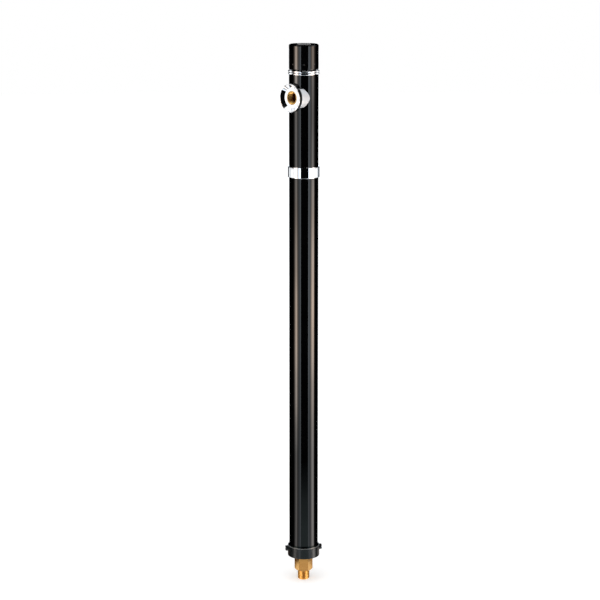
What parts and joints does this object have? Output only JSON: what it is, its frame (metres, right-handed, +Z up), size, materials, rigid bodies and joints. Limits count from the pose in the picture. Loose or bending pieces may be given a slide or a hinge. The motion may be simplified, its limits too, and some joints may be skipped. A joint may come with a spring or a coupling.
{
  "type": "garden standpipe",
  "caption": "Tall round garden standpipe: a knob on top turns a spindle that lifts a long rod and opens a valve in the brass foot; water leaves at a threaded socket in a chrome cup.",
  "frame": {"origin": "on the pole's axis at the shoulder where the inlet thread ends", "axes": "+Z up the pole, the outlet faces -Y"},
  "size_m": [0.0566, 0.0635, 0.9568],
  "materials": {
    "pole_black": "gloss black paint on steel tube",
    "knob_black": "gloss black moulding",
    "collar_black": "semi-gloss black casting",
    "chrome": "bright chrome plate",
    "brass": "machined brass",
    "copper": "drawn copper tube",
    "steel": "turned stainless steel",
    "rubber": "moulded rubber",
    "nylon": "natural nylon"
  },
  "bodies": {
    "standpipe": {"foot_valve_body": "brass", "valve_seat": "steel", "foot_washer": "rubber", "foot_collar": "collar_black", "collar_screws": "collar_black", "lock_nut": "brass", "riser_adapter": "brass", "riser_seals": "rubber", "riser_pipe": "copper", "lower_pole": "pole_black", "joint_sleeve": "steel", "chrome_band": "chrome", "upper_tube": "pole_black", "head_block": "brass", "block_ring": "nylon", "rod_guide": "brass", "gland_nut": "brass", "gland_seals": "rubber", "thrust_washer": "nylon", "outlet_washer": "rubber", "outlet_socket": "brass", "outlet_saddle": "chrome", "outlet_cup": "chrome", "trim_ring": "chrome"},
    "knob": {"spindle": "steel", "knob_shell": "knob_black", "knob_plate": "knob_black", "knob_insert": "brass", "knob_screw": "steel"},
    "valve_rod": {"lift_nut": "brass", "lift_rod": "steel", "valve_plug": "brass", "plug_washer": "rubber", "plug_screw": "steel"}
  },
  "joints": [
    {"name": "knob_turn", "type": "hinge", "parent": "standpipe", "child": "knob", "pos_m": [0, 0, 0.89], "axis": [0, 0, 1], "range_deg": [0, 540]},
    {"name": "rod_lift", "type": "slide", "parent": "standpipe", "child": "valve_rod", "axis": [0, 0, 1], "range_m": [0, 0.006]}
  ],
  "couplings": [
    {"joint": "rod_lift", "follows": "knob_turn", "m_per_rad": 0.00063662}
  ]
}
